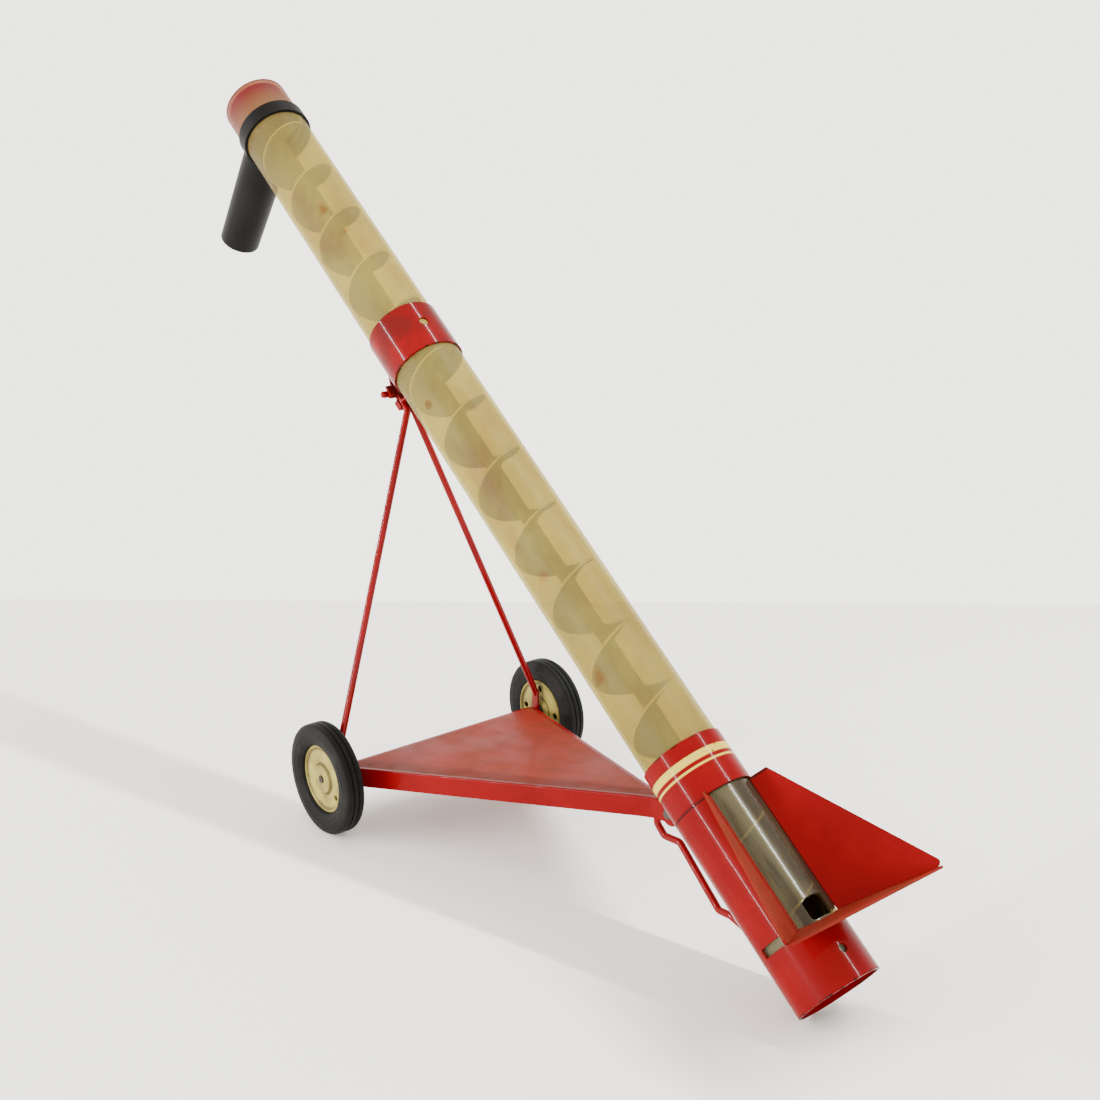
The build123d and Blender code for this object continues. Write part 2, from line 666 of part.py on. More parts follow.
def make_outer_hub(hand, hole_angle):
    inside = web_half + 0.05
    with BuildPart() as hub:
        with BuildSketch(wheel_plane(hand)):
            with BuildLine():
                Polyline(
                    (AXLE_R + RUN_FIT, boss_face - HUB_SHEET), (6.9, boss_face - HUB_SHEET), (8.0, inside),
                    (RIM_R - HUB_SHEET, inside), (RIM_R, inside), (RIM_R, hub_face - 0.4),
                    (RIM_R - 0.4, hub_face), (RIM_R - HUB_SHEET, hub_face), (RIM_R - 1.3, hub_face - 0.3),
                    (RIM_R - 2.0, disc_out), (8.7, disc_out), (7.5, boss_face), (AXLE_R + RUN_FIT, boss_face),
                    close=True,
                )
            make_face()
        spin(hand)
        turn = radians(hole_angle)
        hole_at = (axle_x + 13.9 * cos(turn), hand * HALF_TRACK, WHEEL_R + 13.9 * sin(turn))
        with BuildSketch(Plane(origin=hole_at, x_dir=(1, 0, 0), z_dir=(0, hand, 0))):
            Circle(1.6)
        extrude(amount=5, mode=Mode.SUBTRACT)
    return hub


def make_inner_hub(hand, hole_angle):
    inside = web_half + 0.05
    disc = inner_face - 1.1
    with BuildPart() as hub:
        with BuildSketch(wheel_plane(hand)):
            with BuildLine():
                Polyline(
                    (AXLE_R + RUN_FIT, -inner_face + HUB_SHEET), (5.2, -inner_face + HUB_SHEET),
                    (6.2, -disc + HUB_SHEET), (RIM_R - HUB_SHEET - 0.4, -disc + HUB_SHEET),
                    (RIM_R - HUB_SHEET, -disc + HUB_SHEET + 0.4), (RIM_R - HUB_SHEET, -inside),
                    (RIM_R, -inside), (RIM_R, -inner_face + 0.3), (RIM_R - 0.3, -inner_face),
                    (RIM_R - HUB_SHEET, -inner_face), (RIM_R - 1.8, -disc), (6.9, -disc), (5.9, -inner_face),
                    (AXLE_R + RUN_FIT, -inner_face),
                    close=True,
                )
            make_face()
        spin(hand)
        for step in range(4):
            turn = radians(hole_angle + 90 * step)
            hole_at = (axle_x + 13.6 * cos(turn), hand * HALF_TRACK, WHEEL_R + 13.6 * sin(turn))
            with BuildSketch(Plane(origin=hole_at, x_dir=(1, 0, 0), z_dir=(0, -hand, 0))):
                Circle(1.9)
            extrude(amount=8, mode=Mode.SUBTRACT)
    return hub


def make_bush(hand):
    with BuildPart() as bush:
        low = -inner_face + HUB_SHEET + 0.05
        high = boss_face - HUB_SHEET - 0.05
        with BuildSketch(wheel_plane(hand)):
            with BuildLine():
                Polyline((AXLE_R + RUN_FIT, low), (4.4, low), (4.4, high), (AXLE_R + RUN_FIT, high), close=True)
            make_face()
        spin(hand)
    return bush


for hand, name, hole_angle in ((-1, "near", -30.0), (1, "far", 92.0)):
    finish(make_tyre(hand), f"tyre_{name}")
    finish(make_outer_hub(hand, hole_angle), f"outer_hub_{name}")
    finish(make_inner_hub(hand, hole_angle), f"inner_hub_{name}")
    finish(make_bush(hand), f"bush_{name}")
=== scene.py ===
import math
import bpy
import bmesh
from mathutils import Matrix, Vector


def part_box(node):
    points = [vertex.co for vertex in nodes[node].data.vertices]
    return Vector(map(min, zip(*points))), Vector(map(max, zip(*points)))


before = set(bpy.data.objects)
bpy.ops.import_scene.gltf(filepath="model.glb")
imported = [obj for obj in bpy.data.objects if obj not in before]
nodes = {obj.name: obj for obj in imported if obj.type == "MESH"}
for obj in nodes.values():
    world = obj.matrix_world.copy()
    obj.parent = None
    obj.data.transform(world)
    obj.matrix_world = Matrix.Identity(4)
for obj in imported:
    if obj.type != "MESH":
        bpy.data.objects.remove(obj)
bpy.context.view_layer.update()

# %% [markdown]
# # A toy grain auger, finished in Blender
# The solids come from the CAD frame: every tube, band, wire and wheel already has its true size and place.
# What is left is what Blender is good at: surfaces, light and a camera.
# Each finish is written as a small formula over position, so nothing is painted from an image and
# nothing slides when the machine moves.  The formulas read object coordinates, which in this frame are
# metres on the machine at rest.  A "station" is a distance down the tube from the point over the axle.

mm = 0.001
wheel_low, wheel_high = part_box("tyre_near")
axle_x = (wheel_low.x + wheel_high.x) / 2
wheel_r = (wheel_high.z - wheel_low.z) / 2
slope = math.radians(37.5)
down = Vector((math.cos(slope), 0, -math.sin(slope)))
up = Vector((math.sin(slope), 0, math.cos(slope)))
across = Vector((0, 1, 0))
ring_low, ring_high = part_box("end_ring")
boot_end = 363.7 * mm
collar_r = (ring_high.y - ring_low.y) / 2
tube_r = 19.05 * mm
tube_start = Vector((axle_x, 0, boot_end * math.sin(slope) + collar_r * math.cos(slope)))
print("axle at x", round(axle_x, 4), "wheel radius", round(wheel_r, 4))
print("tube axis over the axle at", round(tube_start.z, 4))

# %% [markdown]
# ## The camera
# The camera comes first, because it decides which surfaces deserve the most work.
# It could be aimed with a Track To constraint, but a rotation matrix built from the viewing direction
# gives the same result with nothing left to evaluate.  It stands less than a metre away, so the hopper
# looks larger than the spout.

# %% Camera
heading = math.radians(50.62)
pitch = math.radians(16.456)
roll = 0.0051
sensor_width = 36
lens_per_width = 1.27525909  # focal length over sensor width
stand = Vector((0.60693 + axle_x, -0.41985, 0.36137))


def put(thing, x_axis, y_axis, z_axis, spot):
    """Add an object to the scene with its own axes along three directions."""
    bpy.context.scene.collection.objects.link(thing)
    turn = Matrix((x_axis, y_axis, z_axis)).transposed()
    thing.matrix_world = Matrix.Translation(spot) @ turn.to_4x4()


level = math.cos(pitch)
ahead = Vector((-math.sin(heading) * level, math.cos(heading) * level, -math.sin(pitch)))
right = Vector((math.cos(heading), math.sin(heading), 0))
above = right.cross(ahead)
cam_x = right * math.cos(roll) + above * math.sin(roll)
cam_y = above * math.cos(roll) - right * math.sin(roll)
camera_data = bpy.data.cameras.new("camera")
camera_data.lens = lens_per_width * sensor_width
camera_data.sensor_width = sensor_width
camera_data.clip_start = 0.01
camera = bpy.data.objects.new("camera", camera_data)
put(camera, cam_x, cam_y, -ahead, stand)
bpy.context.scene.camera = camera
print("camera lens", round(camera_data.lens, 2), "at", [round(v, 3) for v in stand])

# %% [markdown]
# ## Formulas as shaders
# Shader nodes can be placed one by one, but a finish with thirty nodes is hard to read that way.
# Here one small class wraps an output socket and answers to + - and *, so that a mask is written as
# ordinary arithmetic.  Every other node comes from a single method.

# %% The socket wrapper
class Signal:
    """One output socket of a node board, with arithmetic."""

    def __init__(self, board, socket):
        self.board = board
        self.socket = socket

    def maths(self, operation, first, second):
        return self.board.node("ShaderNodeMath", {"operation": operation}, {0: first, 1: second})

    def __add__(self, other):
        return self.maths("ADD", self, other)

    __radd__ = __add__

    def __sub__(self, other):
        return self.maths("SUBTRACT", self, other)

    def __rsub__(self, other):
        return self.maths("SUBTRACT", other, self)

    def __mul__(self, other):
        return self.maths("MULTIPLY", self, other)

    __rmul__ = __mul__

    def most(self, other):
        return self.maths("MAXIMUM", self, other)

    def size(self):
        return self.board.node("ShaderNodeMath", {"operation": "ABSOLUTE"}, {0: self})

    def fade(self, low, high):
        """0 at low, 1 at high, smooth between and flat outside."""
        smooth = {"interpolation_type": "SMOOTHSTEP", "clamp": True}
        ends = {0: self, "From Min": low, "From Max": high}
        return self.board.node("ShaderNodeMapRange", smooth, ends)


print("Signal wraps a socket")

# %% The node board
class Board:
    """A node tree with one method that adds any node."""

    def __init__(self, tree):
        self.tree = tree

    def node(self, kind, settings=None, sockets=None, output=0):
        """Add a node, fill or connect its sockets, and return one of its outputs."""
        made = self.tree.nodes.new(kind)
        for key, value in (settings or {}).items():
            setattr(made, key, value)
        for key, value in (sockets or {}).items():
            if isinstance(value, Signal):
                self.connect(value, made.inputs[key])
            else:
                made.inputs[key].default_value = value
        return Signal(self, made.outputs[output])

    def connect(self, signal, socket):
        self.tree.links.new(signal.socket, socket)


print("Board adds and connects nodes")

# %% The finish
# Sockets of the Mix node that carry colour.
MIX_FIRST = 6
MIX_SECOND = 7
MIX_RESULT = 2


class Finish(Board):
    """A material whose surface is written as formulas."""

    def __init__(self, name, **fixed):
        self.material = bpy.data.materials.new(name)
        self.material.use_nodes = True
        super().__init__(self.material.node_tree)
        self.shader = self.tree.nodes["Principled BSDF"]
        for socket, value in fixed.items():
            self.shader.inputs[socket.replace("_", " ")].default_value = value
        self.place = self.node("ShaderNodeTexCoord", output="Object")
        self.facing = self.node("ShaderNodeNewGeometry", output="Normal")

    def vector(self, operation, first, second, output=0):
        """Vector arithmetic between a signal and fixed numbers."""
        pair = {0: first, 1: tuple(second)}
        return self.node("ShaderNodeVectorMath", {"operation": operation}, pair, output)

    def along(self, direction, origin=(0, 0, 0)):
        """Distance along a direction from a point, in metres."""
        from_origin = self.vector("SUBTRACT", self.place, origin)
        return self.vector("DOT_PRODUCT", from_origin, direction, "Value")

    def station(self):
        """Distance down the tube from the point over the axle."""
        return self.along(down, tube_start)

    def reach(self, first, second, origin):
        """Distance from the axis that is square to two directions."""
        one = self.along(first, origin)
        two = self.along(second, origin)
        return self.node("ShaderNodeMath", {"operation": "SQRT"}, {0: one * one + two * two})

    def tilt(self, direction):
        """How much the surface faces a direction, -1 to 1."""
        return self.vector("DOT_PRODUCT", self.facing, direction, "Value")

    def stretch(self, x, y, z):
        """Position scaled per axis, for streaks."""
        return self.vector("MULTIPLY", self.place, (x, y, z))

    def tube_space(self, round_it):
        """Position in the tube's own axes, scaled round it."""
        parts = {
            "X": self.station(),
            "Y": self.along(across, tube_start) * round_it,
            "Z": self.along(up, tube_start) * round_it,
        }
        return self.node("ShaderNodeCombineXYZ", {}, parts)

    def noise(self, scale, detail=3.0, rough=0.5, place=None, seed=0.0):
        """Cloudy values about 0.5; the seed picks a different cloud."""
        sockets = {
            "Vector": place or self.place,
            "W": seed,
            "Scale": scale,
            "Detail": detail,
            "Roughness": rough,
        }
        return self.node("ShaderNodeTexNoise", {"noise_dimensions": "4D"}, sockets)

    def blend(self, share, first, second):
        """Colour mix: first where share is 0, second where it is 1."""
        pair = {0: share}
        pair[MIX_FIRST] = (*first, 1) if isinstance(first, tuple) else first
        pair[MIX_SECOND] = (*second, 1) if isinstance(second, tuple) else second
        return self.node("ShaderNodeMix", {"data_type": "RGBA"}, pair, MIX_RESULT)

    def bump(self, height, strength, depth):
        return self.node("ShaderNodeBump", {}, {"Height": height, "Strength": strength, "Distance": depth})

    def paint(self, **signals):
        for socket, signal in signals.items():
            self.connect(signal, self.shader.inputs[socket.replace("_", " ")])

    def overpaint(self, share, colour):
        """Lay a colour over what is painted already, where share is 1."""
        painted = Signal(self, self.shader.inputs["Base Color"].links[0].from_socket)
        self.paint(Base_Color=self.blend(share, painted, colour))

    def see_through(self, tint, opacity):
        """Lets tinted light straight through where opacity is below 1."""
        clear = self.node("ShaderNodeBsdfTransparent", {}, {"Color": (*tint, 1)})
        surface = Signal(self, self.shader.outputs[0])
        mixed = self.node("ShaderNodeMixShader", {}, {0: opacity, 1: clear, 2: surface})
        self.connect(mixed, self.tree.nodes["Material Output"].inputs["Surface"])

    def wear_on(self, *names):
        for name in names:
            mesh = nodes[name].data
            mesh.materials.clear()
            mesh.materials.append(self.material)


print("Finish makes materials by formula")


# %% Pigments
def tone(red, green, blue):
    """Pigment strength in thousandths of full reflection, as a shader colour."""
    return (red / 1000, green / 1000, blue / 1000)


red_thin = tone(190, 1.6, 3.0)
red_thick = tone(142, 1.5, 2.8)
bare_scratch = tone(300, 22, 20)
# Dark of the chips, also used for the painted shade line at seams.
chip_and_seam_shade_tone = tone(15, 3.32, 2.4)
dust_tone = tone(150, 23, 11)
stain_tone = tone(98, 23, 9)
# Dark patches: handling grime, and painted shade on the saddle and clip under the tube.
grime_and_shade_tone = tone(70, 7.5, 6)
print("red enamel reflects", red_thick, "to", red_thin, "of the light")

# %% [markdown]
# ## Red enamel
# The bands, hopper, wires and tray are dipped in one glossy red enamel.  Real enamel is never one red: it is
# a little darker where it ran thick, it carries fine scratches and small dark chips, and its gloss is
# broken by handling.  A single noise could vary the colour, but scratches need a stretched one and chips
# need a sharp one, so three are layered.  The same recipe serves every red piece, with a dust share and
# worn rims that differ.

# %% Red enamel recipe
RIM_WEAR = (0.2 * mm, 1.1 * mm)
# Width of the painted shade line at a seam.
SEAM_SHADE = (0.1 * mm, 0.6 * mm)
ENAMEL_DEPTH = 0.4 * mm


def red_enamel(name, dust=None, rims=(), seams=(), chips=0.5, gloss=0.05, grime=0.0, relief=0.35):
    """Glossy red with scratches, chips, optional dust mask, worn rims and painted seam shade at tube
    stations.
    """
    red = Finish(name, Specular_IOR_Level=0.03, Coat_Weight=gloss, Coat_Roughness=0.05)
    cloud = red.noise(22, 4, 0.55)
    colour = red.blend(cloud.fade(0.35, 0.68), red_thick, red_thin)
    if grime:
        # Dark patches: handling grime on the bands; on the saddle and clip under the tube they are part
        # painted shade.
        grime_and_shade_patches = red.noise(48, 4, 0.65, seed=11.0).fade(0.42, 0.62)
        colour = red.blend(grime_and_shade_patches * grime, colour, grime_and_shade_tone)
    scratch_place = red.stretch(40, 260, 70)
    scratch = red.noise(9, 2, 0.6, scratch_place, 2.0).fade(0.66, 0.72)
    colour = red.blend(scratch * 0.25, colour, bare_scratch)
    speck = red.noise(420, 2, 0.5, seed=5.0).fade(0.70, 0.76)
    patch = red.noise(30, 2, 0.5, seed=9.0).fade(0.5, 0.62)
    chip_and_seam_shade = speck * patch * chips
    for rim in rims:
        near_rim = 1 - (red.station() - rim).size().fade(*RIM_WEAR)
        ragged = red.noise(260, 3, 0.6, seed=3.0).fade(0.5, 0.6)
        chip_and_seam_shade = chip_and_seam_shade.most(near_rim * ragged)
    # Painted shade: a dark line at each seam station stands in for the shadow in the gap between two parts.
    for seam in seams:
        chip_and_seam_shade = chip_and_seam_shade.most(1 - (red.station() - seam).size().fade(*SEAM_SHADE))
    colour = red.blend(chip_and_seam_shade, colour, chip_and_seam_shade_tone)
    rough = 0.16 + cloud * 0.12 + scratch * 0.15 + chip_and_seam_shade * 0.3
    height = red.noise(190, 2, 0.5) * 0.25 - chip_and_seam_shade * 0.8 - scratch * 0.2
    if dust:
        film = dust(red)
        grain = red.noise(900, 2, 0.6, seed=4.0)
        stain = red.noise(64, 6, 0.7, seed=13.0).fade(0.46, 0.6)
        powder = red.blend(stain * 0.8, dust_tone, stain_tone)
        colour = red.blend(film * (0.72 + grain * 0.36), colour, powder)
        rough = rough + film * 0.38
        height = height + film * grain * 0.3
        red.paint(Coat_Weight=(1 - film) * gloss)
    red.paint(Base_Color=colour, Roughness=rough, Normal=red.bump(height, relief, ENAMEL_DEPTH))
    return red


red_bare = red_enamel("red_enamel", chips=0.25, gloss=0.25, relief=0.08)
red_bare.wear_on("strut_leg_near", "strut_leg_far", "tow_loop", "hinge_lugs")
# The saddle and clip sit under the tube; their darker red is part wear, part painted shade.
red_worn_and_shaded = red_enamel("red_worn_and_shaded", chips=1.0, gloss=0.15, grime=0.9, relief=0.2)
red_worn_and_shaded.wear_on("strut_saddle", "strut_clip")
print("plain red on the wires and brackets")

# %% [markdown]
# ## The bands
# Three rolled bands grip the tube.  Their cut rims lose paint first, so dark ragged wear sits within about
# a millimetre of each rim.  The stations of the rims are known sizes, which makes the mask one
# subtraction.  The lower band also carries two plain cream stripes, a wide one and a thin one.

# %% Bands
mid_rims = (-38.0 * mm, -8.2 * mm)
end_rims = (337.2 * mm, boot_end)
hinge_rim = 241.0 * mm
hinge_seam = 267.4 * mm
hopper_seam = 268.0 * mm
wide_stripe = 250.0 * mm
thin_stripe = 254.2 * mm
stripe_cream = tone(543, 405, 54.5)

mid_band = red_enamel("red_band_mid", rims=mid_rims, chips=1.0, gloss=0.12, grime=0.65)
mid_band.wear_on("mid_collar")
end_band = red_enamel("red_band_end", rims=end_rims, chips=0.8, gloss=0.1, grime=0.1)
end_band.wear_on("end_ring")

# Its seam station carries a painted shade line.
hinge_band = red_enamel("red_band_hinge", rims=(hinge_rim,), seams=(hinge_seam,), chips=0.6, gloss=0.08)
station = hinge_band.station()
wide = 1 - (station - wide_stripe).size().fade(1.7 * mm, 1.9 * mm)
thin = 1 - (station - thin_stripe).size().fade(0.45 * mm, 0.6 * mm)
print_left = 1 - hinge_band.noise(330, 4, 0.7, seed=17.0).fade(0.6, 0.66)
hinge_band.overpaint(wide.most(thin) * print_left, stripe_cream)
hinge_band.wear_on("lower_collar")
print("bands dressed, stripes at stations", round(wide_stripe, 4), "and", round(thin_stripe, 4))

# %% [markdown]
# ## Dusty tray and hopper
# Anything that faces up has gathered years of dust, which turns the red to a flat brick pink.  The mask
# is how far the surface faces up, times a soft cloud, and it fades out along the tray's folded edges where
# hands and cloths rub it clean.  A broken line of painted shade follows the fold.

# %% Platform
pan_slope = math.radians(9.8)
pan_up = Vector((-math.sin(pan_slope), 0, math.cos(pan_slope)))
pan_half = 67.0 * mm
neck_half = 6.1 * mm
neck_run = 168.0 * mm
taper = (pan_half - neck_half) / neck_run
fold_width = 2.6 * mm
# Colour of the painted shade line along the tray's fold.
fold_shade_tone = tone(48, 6, 4)


def tray_run(red):
    """Distance from the axle towards the hinge."""
    return red.along((1, 0, 0), (axle_x, 0, 0))


def tray_inside(red):
    """Distance in from the tray's slanting side."""
    return pan_half - tray_run(red) * taper - red.along(across).size()


def tray_top(red):
    return red.tilt(pan_up).fade(0.93, 0.99)


def tray_dust(red):
    """Dust on the flat top, worn off near its edges."""
    blotch = red.noise(26, 5, 0.6, seed=1.0)
    smear = red.noise(7, 3, 0.6, red.stretch(5, 16, 5), 6.0)
    edge = tray_inside(red).fade(2.3 * mm, 3.1 * mm)
    rear = tray_run(red).fade(-1.2 * mm, 0.2 * mm)
    cover = 0.5 + blotch.fade(0.35, 0.65) * 0.35 + smear.fade(0.4, 0.7) * 0.15
    return tray_top(red) * edge * rear * cover


def tray_fold_shade(red):
    """Painted shade: a dark line where the folded border meets the flat top."""
    line = 1 - (tray_inside(red) - fold_width).size().fade(0.1 * mm, 0.75 * mm)
    broken = red.noise(60, 3, 0.6, seed=21.0).fade(0.3, 0.5)
    return line * broken * tray_top(red)


tray = red_enamel("red_tray", dust=tray_dust, chips=0.35, gloss=0.07)
# Painted shade along the fold of the tray's border, broken up by noise.
tray.overpaint(tray_fold_shade(tray) * 0.8, fold_shade_tone)
tray.wear_on("platform_pan")
# The line in this printout is painted shade along the fold.
print("tray dusted, with a dirt line", round(fold_width, 4), "in from its sides")


# %% Hopper
def hopper_cloud(red):
    return red.noise(34, 4, 0.6, seed=8.0).fade(0.35, 0.65)


def side_dust(red):
    """Dust where the near wing faces up."""
    facing = red.tilt((0, 0, 1)).fade(0.35, 0.6)
    near_side = 1 - red.along(across).fade(-19.5 * mm, -18.5 * mm)
    return facing * near_side * (0.5 + hopper_cloud(red) * 0.4)


def front_dust(red):
    """Dust on the front plate, rubbed thinner towards its two tips."""
    facing = red.tilt((0, 0, 1)).fade(0.2, 0.5)
    worn_tip = 1 - red.along(across).size().fade(22 * mm, 44 * mm) * 0.6
    return facing * worn_tip * (0.65 + hopper_cloud(red) * 0.35)


# Its seam station carries a painted shade line where it meets the lower band.
hopper_red = red_enamel("red_hopper", dust=side_dust, seams=(hopper_seam,), chips=0.5, gloss=0.07)
hopper_red.wear_on("hopper_shell")
front_red = red_enamel("red_front_plate", dust=front_dust, chips=0.5, gloss=0.08)
front_red.wear_on("hopper_front")
print("hopper and front plate carry dust")

# %% [markdown]
# ## The yellowed tube
# Old clear plastic yellows and hazes over, so the screw shows only as a soft shadow.  Real transmission
# through two hazy walls is slow and grainy to render.  Here the wall is part yellow shell and part tinted
# window that lets light straight through.  One opacity mask mixes the two: about half shell on the outer
# skin, and less on the bore.  Clouds, rust stains and browned ends are colours of the shell.  The top end
# round the plug is red, and inside the hopper the tube is smoked, streaky and glossier.

# %% Tube
skin = (17.9 * mm, 18.4 * mm)
hopper_start = (262 * mm, 270 * mm)
low_browning = (170 * mm, 262 * mm)
high_browning = (-200 * mm, -120 * mm)
tan_span = (-212 * mm, -190 * mm)
red_span = (-229 * mm, -207 * mm)
window_tint = (0.98, 0.89, 0.52)
# Rust stains: station in mm, turn from the top towards the near side in radians, radius in mm.
stains = (
    (-121, 0.77, 4.5),
    (-162, 1.85, 3.5),
    (-100, 0.56, 2.0),
    (136, 1.2, 4.5),
    (193, 1.45, 6.0),
    (20, 1.3, 3.0),
    (-12, 0.9, 7.0),
)
tube = Finish("yellowed_tube", Specular_IOR_Level=0.12, Coat_Roughness=0.12)
station = tube.station()
outside = tube.reach(across, up, tube_start).fade(*skin)
bent = tube.tube_space(2.2)
haze = tube.noise(16, 4, 0.6, bent, 1.0)
patches = tube.noise(19, 4, 0.6, bent, 3.0)
rust_cloud = tube.noise(150, 4, 0.7, seed=6.0)
aged = tube.blend(haze.fade(0.32, 0.66), tone(268, 226, 64), tone(165, 130, 42))
aged = tube.blend(patches.fade(0.52, 0.68) * 0.7, aged, tone(150, 80, 30))
aged = tube.blend(rust_cloud.fade(0.7, 0.76) * 0.6, aged, tone(120, 38, 12))
for distance, turn, radius in stains:
    size = radius * mm
    outward = up * math.cos(turn) - across * math.sin(turn)
    heart = tube_start + down * (distance * mm) + outward * tube_r
    away = tube.vector("DISTANCE", tube.place, heart, "Value")
    ragged = away + (haze - 0.5) * size + (rust_cloud - 0.5) * (2.4 * size)
    spot = 1 - ragged.fade(0.35 * size, size)
    aged = tube.blend(spot * 0.75, aged, tone(150, 48, 14))
low_end = station.fade(*low_browning)
high_end = 1 - station.fade(*high_browning)
tan_end = 1 - station.fade(*tan_span)
red_end = 1 - station.fade(*red_span)
aged = tube.blend(low_end.most(high_end) * (0.25 + haze * 0.4), aged, tone(112, 80, 27))
aged = tube.blend(tan_end * 0.75, aged, tone(140, 46, 22))
aged = tube.blend(red_end, aged, tone(112, 5, 9))
in_hopper = station.fade(*hopper_start)
streaks = tube.noise(10, 4, 0.6, tube.tube_space(9.0), 4.0)
smoked = tube.blend(streaks.fade(0.4, 0.6), tone(44, 32, 19), tone(122, 108, 60))
skin_opacity = 0.48 + haze * 0.14 + tan_end * 0.36
bore_opacity = 0.2 + in_hopper * 0.3
scuff = tube.noise(9, 3, 0.6, tube.stretch(120, 20, 60), 8.0)
tube.paint(
    Base_Color=tube.blend(in_hopper, aged, smoked),
    Roughness=0.42 + scuff.fade(0.5, 0.75) * 0.15 - in_hopper * 0.2,
    Coat_Weight=in_hopper * 0.5,
    Normal=tube.bump(haze * 0.5 + scuff * 0.1, 0.15, 0.6 * mm),
)
tube.see_through(window_tint, outside * skin_opacity + (1 - outside) * bore_opacity)
tube.wear_on("auger_tube")
print("tube hazed, smoked from station", round(hopper_start[0], 3))

# %% [markdown]
# ## Screw, shaft and moulded parts
# The screw's flight is pale, with a painted highlight along its outer edge, and its shaft is a pale
# moulding.  The axle, rivet, washers and bushes are worn steel with rust clouds.  The end plug is red
# plastic, the spout a charcoal moulding with faint flow marks.  Plastics keep a softer highlight than
# enamel, so they get more roughness and no coat.

# %% Metal and plastic
fine_depth = 0.3 * mm
flight = Finish("flight_metal", Specular_IOR_Level=0.3)
grime = flight.noise(60, 4, 0.6)
rub = flight.noise(300, 2, 0.5, seed=2.0)
# Painted highlight: a near-white band on the flight's outer edge.
edge_highlight = flight.reach(across, up, tube_start).fade(16.3 * mm, 16.8 * mm)
face = flight.blend(grime.fade(0.35, 0.65), tone(190, 190, 150), tone(260, 262, 205))
flight.paint(
    Base_Color=flight.blend(edge_highlight, face, tone(820, 800, 640)),
    Roughness=0.38 + grime * 0.25,
    Normal=flight.bump(rub + grime, 0.1, fine_depth),
)
flight.wear_on("auger_flight")

steel = Finish("worn_steel", Metallic=0.85, Specular_IOR_Level=0.5)
pits = steel.noise(240, 4, 0.6)
rust = steel.noise(90, 3, 0.6, seed=4.0).fade(0.52, 0.68)
steel.paint(
    Base_Color=steel.blend(rust, tone(65.9, 61.1, 53.9), tone(33.7, 14.7, 8.59)),
    Roughness=0.32 + rust * 0.35,
    Normal=steel.bump(pits, 0.3, 0.2 * mm),
)
steel.wear_on("axle", "pivot_rivet", "axle_washers", "bush_near", "bush_far")

rod = Finish("shaft_plastic", Specular_IOR_Level=0.15)
film = rod.noise(70, 3, 0.5)
rod.paint(
    Base_Color=rod.blend(film, tone(210, 190, 110), tone(280, 255, 150)),
    Roughness=0.5 + film * 0.2,
    Normal=rod.bump(film, 0.1, fine_depth),
)
rod.wear_on("auger_shaft")

plug = Finish("red_moulding", Specular_IOR_Level=0.12)
mottle = plug.noise(80, 3, 0.5)
plug.paint(
    Base_Color=plug.blend(mottle, tone(85, 2.2, 3.12), tone(154, 1.99, 2.53)),
    Roughness=0.35 + mottle * 0.15,
    Normal=plug.bump(mottle, 0.15, fine_depth),
)
plug.wear_on("end_plug")

charcoal = Finish("charcoal_moulding", Specular_IOR_Level=0.08)
flow = charcoal.noise(50, 4, 0.55)
nick = charcoal.noise(500, 2, 0.6, seed=3.0).fade(0.68, 0.75)
moulded = charcoal.blend(flow.fade(0.3, 0.7), tone(3.8, 3.7, 3.5), tone(6.0, 5.8, 5.5))
charcoal.paint(
    Base_Color=charcoal.blend(nick * 0.5, moulded, tone(37.6, 36.6, 32.5)),
    Roughness=0.36 + flow * 0.2,
    Normal=charcoal.bump(flow * 0.5 + nick * 0.2, 0.12, fine_depth),
)
charcoal.wear_on("discharge_spout")

tan = Finish("bearing_moulding", Specular_IOR_Level=0.4)
soil = tan.noise(120, 3, 0.6)
tan.paint(
    Base_Color=tan.blend(soil, tone(21.7, 17.3, 9.61), tone(53.7, 43.6, 22.5)),
    Roughness=0.5 + soil * 0.2,
    Normal=tan.bump(soil, 0.2, fine_depth),
)
tan.wear_on("lower_bearing")
print("metal and plastics dressed")

# %% [markdown]
# ## Wheels
# The discs are yellowed cream enamel, with dirt and painted shade in two pressed corners and a few rust
# freckles.  Rubber is nearly black, but a tyre reads as rubber because dust greys its side walls while the
# tread stays darker.
# Both masks use the distance from the axle, so they follow the wheel's shape.

# %% Wheels
rim_corner = 16.6 * mm
hub_corner = 8.3 * mm
side_wall = (27.5 * mm, 29.8 * mm)
ring_rate = 2600


def from_axle(finish):
    """Distance from the wheels' own axis."""
    return finish.reach((1, 0, 0), (0, 0, 1), (axle_x, 0, wheel_r))


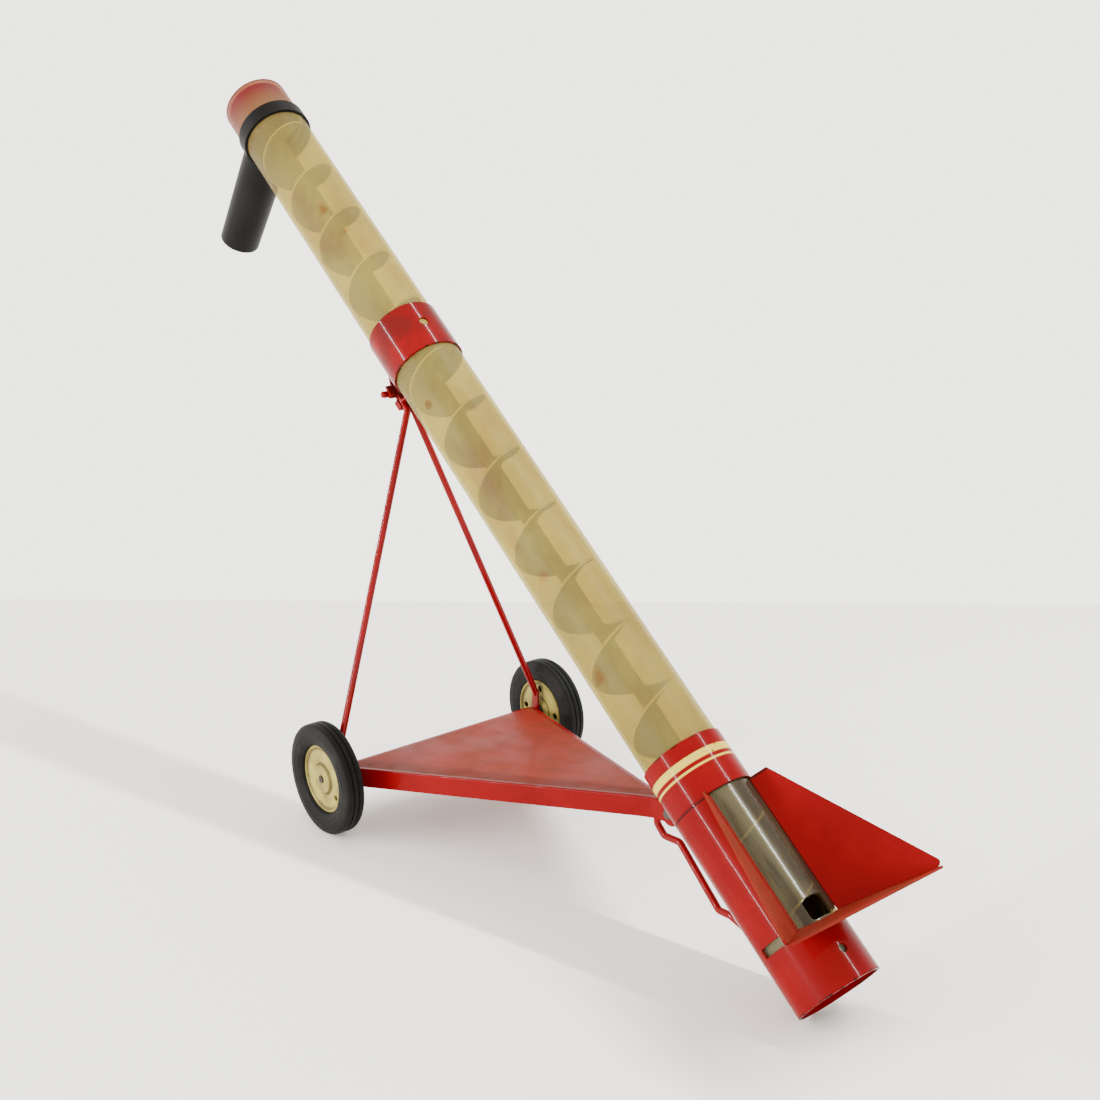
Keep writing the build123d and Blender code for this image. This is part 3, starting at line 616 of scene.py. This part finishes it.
for side in ("near", "far"):
    cream = Finish(f"cream_enamel_{side}", Specular_IOR_Level=0.12)
    radius = from_axle(cream)
    dirt = cream.noise(90, 4, 0.6)
    # Dirt and painted shade in the disc's two pressed corners, at the rim and at the hub.
    outer = 1 - (radius - rim_corner).size().fade(0.3 * mm, 1.6 * mm)
    inner = 1 - (radius - hub_corner).size().fade(0.3 * mm, 1.3 * mm)
    corner_dirt_and_shade = outer.most(inner) * dirt.fade(0.2, 0.5) * 0.85
    freckle = cream.noise(330, 2, 0.5, seed=5.0).fade(0.7, 0.75)
    base = cream.blend(dirt.fade(0.35, 0.7), tone(330, 275, 64), tone(180, 142, 38))
    base = cream.blend(corner_dirt_and_shade, base, tone(80, 58, 22))
    base = cream.blend(freckle, base, tone(25.2, 11.5, 5.16))
    cream.paint(
        Base_Color=base,
        Roughness=0.34 + dirt * 0.22,
        Normal=cream.bump(dirt * 0.4 - freckle * 0.4, 0.3, fine_depth),
    )
    cream.wear_on(f"outer_hub_{side}", f"inner_hub_{side}")

    rubber = Finish(f"rubber_{side}", Specular_IOR_Level=0.10)
    radius = from_axle(rubber)
    powder = rubber.noise(70, 5, 0.6)
    wall = 1 - radius.fade(*side_wall)
    rings = rubber.node("ShaderNodeMath", {"operation": "SINE"}, {0: radius * ring_rate})
    base = rubber.blend(powder.fade(0.35, 0.7) * 0.7, tone(3.6, 3.5, 3.5), tone(8.5, 8.2, 7.9))
    base = rubber.blend(wall * powder.fade(0.45, 0.65) * 0.35, base, tone(22.5, 20.8, 18.9))
    rubber.paint(
        Base_Color=base,
        Roughness=0.48 + powder * 0.25,
        Normal=rubber.bump(powder * 0.6 + rings * wall * 0.12, 0.35, 0.4 * mm),
    )
    rubber.wear_on(f"tyre_{side}")
print("wheels dressed")

# %% [markdown]
# ## Table and light
# A plain pale table top runs back to an edge that is nearly lost against a pale room.  Two long strip lights
# lie along the tube's direction, one low in front and one high behind, so each draws a thin streak on the
# bands.  The room is brighter near the horizon than overhead, and it fills the shadows.

# %% Table
edge_away = 1.075
half_wide = 6
deep = 8
table_mesh = bpy.data.meshes.new("table_top")
table = bpy.data.objects.new("table_top", table_mesh)
bpy.context.scene.collection.objects.link(table)
flat_ahead = Vector((-math.sin(heading), math.cos(heading), 0))
far_edge = Vector((stand.x, stand.y, 0)) + flat_ahead * edge_away
far_left = far_edge - right * half_wide
far_right = far_edge + right * half_wide
near_right = far_right - flat_ahead * deep
near_left = far_left - flat_ahead * deep
outline = bmesh.new()
outline.faces.new([outline.verts.new(c) for c in (far_left, far_right, near_right, near_left)])
bmesh.ops.recalc_face_normals(outline, faces=outline.faces)
outline.to_mesh(table_mesh)
outline.free()
top = Finish("pale_table", Specular_IOR_Level=0.2)
weave = top.noise(6, 3, 0.5)
top.paint(
    Base_Color=top.blend(weave, tone(930, 910, 870), tone(960, 940, 900)),
    Roughness=0.75 + weave * 0.1,
    Normal=top.bump(weave, 0.05, 2 * mm),
)
table_mesh.materials.append(top.material)
print("table edge", [round(v, 3) for v in far_edge])

# %% Room
horizon_strength = 3.5
overhead_strength = 1.6
world = bpy.data.worlds.new("room")
bpy.context.scene.world = world
world.use_nodes = True
room = Board(world.node_tree)
background = room.tree.nodes["Background"]
direction = room.node("ShaderNodeTexCoord", output="Generated")
climb = room.node("ShaderNodeSeparateXYZ", {}, {0: direction}, "Z")
span = {
    "Value": climb,
    "From Min": 0.10,
    "From Max": 0.55,
    "To Min": horizon_strength,
    "To Max": overhead_strength,
}
room.connect(room.node("ShaderNodeMapRange", {}, span), background.inputs["Strength"])
background.inputs["Color"].default_value = (1.0, 0.975, 0.92, 1)
print("room strength", horizon_strength, "at the horizon,", overhead_strength, "overhead")

# %% Strip lights
machine_middle = Vector((0.07, 0, 0.15))
strip_width = 0.04


def strip_light(name, spot, length, watts):
    """A strip that lies along the tube's direction and shines at the machine's middle."""
    data = bpy.data.lights.new(name, "AREA")
    data.shape = "RECTANGLE"
    data.size = length
    data.size_y = strip_width
    data.energy = watts
    backward = (Vector(spot) - machine_middle).normalized()
    lengthwise = (down - backward * down.dot(backward)).normalized()
    put(bpy.data.objects.new(name, data), lengthwise, backward.cross(lengthwise), backward, spot)


strip_light("window_panel", (-0.33, -1.36, 0.49), 1.15, 30)
strip_light("ceiling_panel", (0.457, 0.574, 1.42), 1.25, 34)
print("two strip lights placed")
